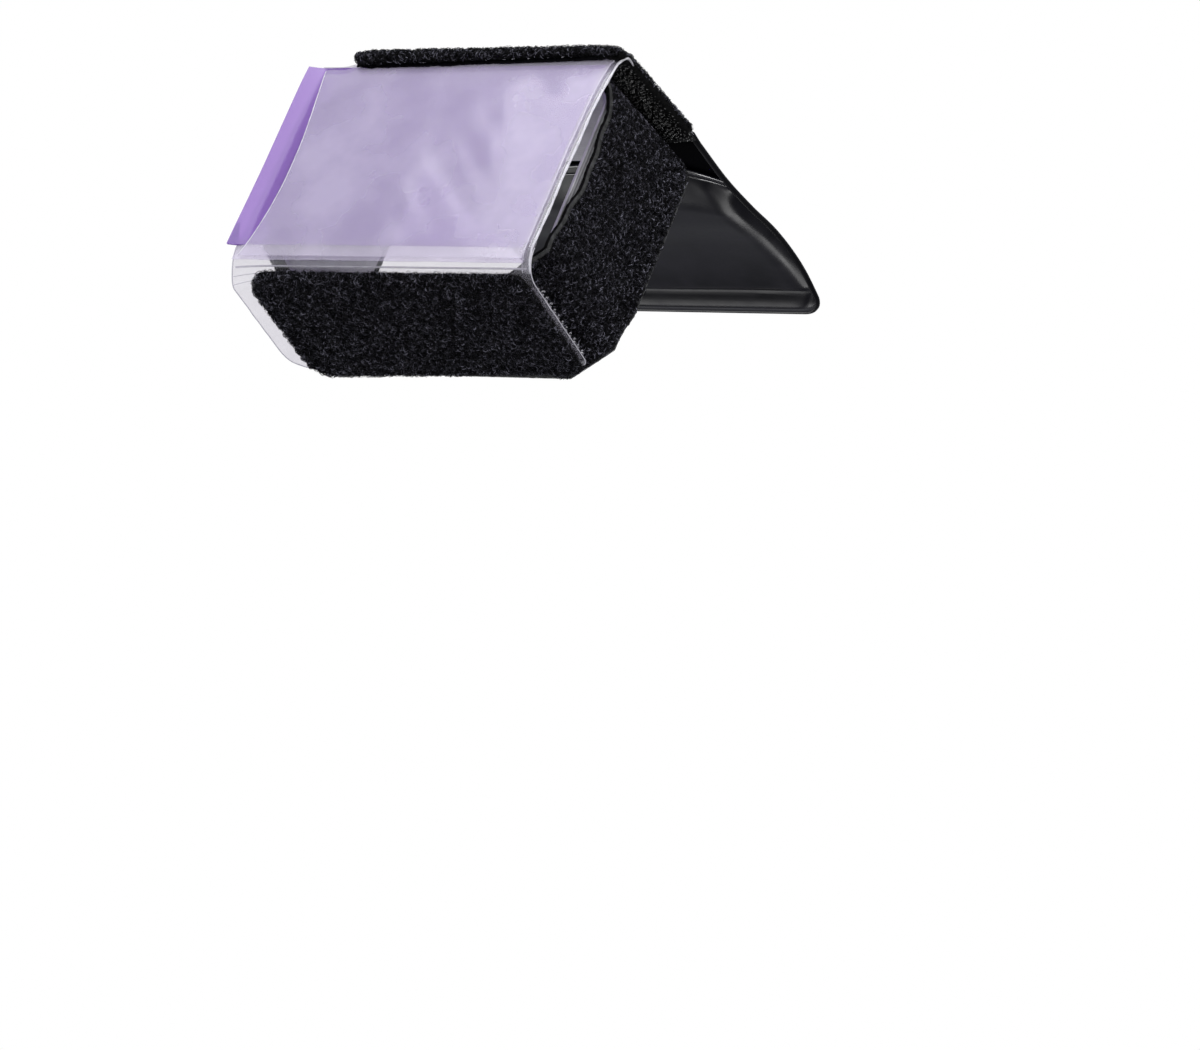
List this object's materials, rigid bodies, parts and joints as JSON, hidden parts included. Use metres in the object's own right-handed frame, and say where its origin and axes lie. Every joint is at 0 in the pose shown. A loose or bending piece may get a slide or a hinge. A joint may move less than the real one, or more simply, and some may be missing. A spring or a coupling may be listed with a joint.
{
  "type": "speedlight gel filter holder",
  "caption": "Soft sleeve that wraps a flash head with a loop-faced strap and holds a colour gel in a clear front pocket, with hook-backed flaps and a storage pouch.",
  "frame": {"origin": "centre of the lining's inner bottom face, where the sleeve sits on the underside of the flash head", "axes": "+X across the head to the viewer's right, +Y back along the head (the clear window faces -Y), +Z towards the top flap"},
  "size_m": [0.0907, 0.1237, 0.0871],
  "materials": {
    "loop_tape": "brushed nylon loop pile, matt black",
    "grip_lining": "fine-ribbed grey non-slip lining",
    "black_hook": "woven black hook tape",
    "clear_hook": "clear moulded hook tape",
    "clear_film": "soft clear vinyl film, glossy",
    "purple_gel": "purple polyester colour filter, glossy",
    "black_vinyl": "glossy soft black vinyl",
    "thread": "black sewing thread"
  },
  "bodies": {
    "strap": {"strap": "loop_tape", "strap_lining": "grip_lining"},
    "strap_tail": {"strap_tail": "loop_tape", "tail_hook_patch": "black_hook", "tail_seam_thread": "thread"},
    "window": {"window_back_sheet": "clear_film", "window_front_sheet": "clear_film", "window_edge_weld": "clear_film", "window_bottom_weld": "clear_film"},
    "gel": {"gel_sheet": "purple_gel"},
    "bottom_flap": {"bottom_flap_sheet": "clear_film", "bottom_hook_strip": "clear_hook", "bottom_loop_pad": "loop_tape"},
    "top_flap": {"top_flap_sheet": "clear_film", "top_hook_strip": "black_hook", "top_loop_pad": "loop_tape"},
    "pouch": {"pouch_outer_skin": "black_vinyl", "pouch_inner_lining": "black_vinyl", "pouch_rim_weld": "black_vinyl"}
  },
  "joints": [
    {"name": "window_swing", "type": "hinge", "parent": "strap", "child": "window", "pos_m": [0, -0.025, 0.06189], "axis": [-1, 0, 0], "range_deg": [0, 90]},
    {"name": "bottom_flap_peel", "type": "hinge", "parent": "window", "child": "bottom_flap", "pos_m": [0, -0.027, -0.0057], "axis": [-1, 0, 0], "range_deg": [0, 90]},
    {"name": "gel_slide", "type": "slide", "parent": "window", "child": "gel", "axis": [-1, 0, 0], "range_m": [0, 0.08]},
    {"name": "top_flap_peel", "type": "hinge", "parent": "strap", "child": "top_flap", "pos_m": [0, -0.025, 0.06189], "axis": [1, 0, 0], "range_deg": [0, 75]},
    {"name": "pouch_lift", "type": "hinge", "parent": "top_flap", "child": "pouch", "pos_m": [0, 0.0176, 0.0692], "axis": [1, 0, 0], "range_deg": [0, 100]},
    {"name": "tail_peel", "type": "hinge", "parent": "strap", "child": "strap_tail", "pos_m": [-0.0415, 0, 0.052], "axis": [0, 1, 0], "range_deg": [0, 85]}
  ]
}
